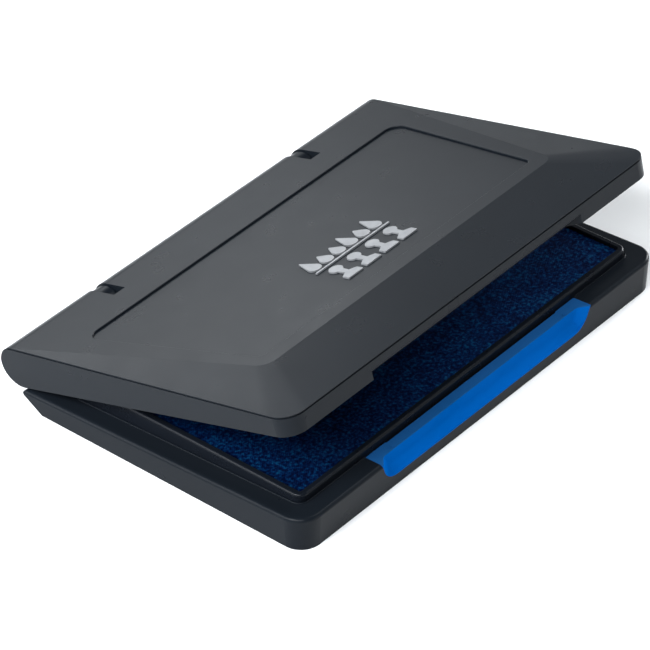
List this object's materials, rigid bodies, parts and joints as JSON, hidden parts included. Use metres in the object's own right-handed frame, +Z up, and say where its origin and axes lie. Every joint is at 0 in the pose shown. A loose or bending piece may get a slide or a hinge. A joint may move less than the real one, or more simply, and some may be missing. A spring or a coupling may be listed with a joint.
{
  "type": "ink pad",
  "caption": "Flat hinged plastic case holding a blue inked cloth pad in a thin raised frame, with a blue finger scoop at the opening edge and a bevelled lid.",
  "frame": {"origin": "centre of the closed case's footprint, on the surface it rests on", "axes": "+X along the case's long side, +Y towards the hinge, -Y the opening side with the blue tab, +Z up"},
  "size_m": [0.1006, 0.0702, 0.0281],
  "materials": {
    "base_tray": "satin moulded charcoal plastic",
    "pad_cartridge": "satin moulded charcoal plastic",
    "felt_core": "ink-soaked felt",
    "pad_cloth": "dark blue inked cloth, mottled",
    "colour_tab": "semi-gloss translucent blue plastic",
    "lid_shell": "satin moulded charcoal plastic",
    "lid_mark": "silver raised foil"
  },
  "bodies": {
    "base": {"base_tray": "base_tray", "pad_cartridge": "pad_cartridge", "felt_core": "felt_core", "pad_cloth": "pad_cloth", "colour_tab": "colour_tab"},
    "lid": {"lid_shell": "lid_shell", "lid_mark": "lid_mark"}
  },
  "joints": [
    {"name": "lid_hinge", "type": "hinge", "parent": "base", "child": "lid", "pos_m": [0, 0.031, 0.0084], "axis": [-1, 0, 0], "range_deg": [-15.15, 164.4]}
  ]
}
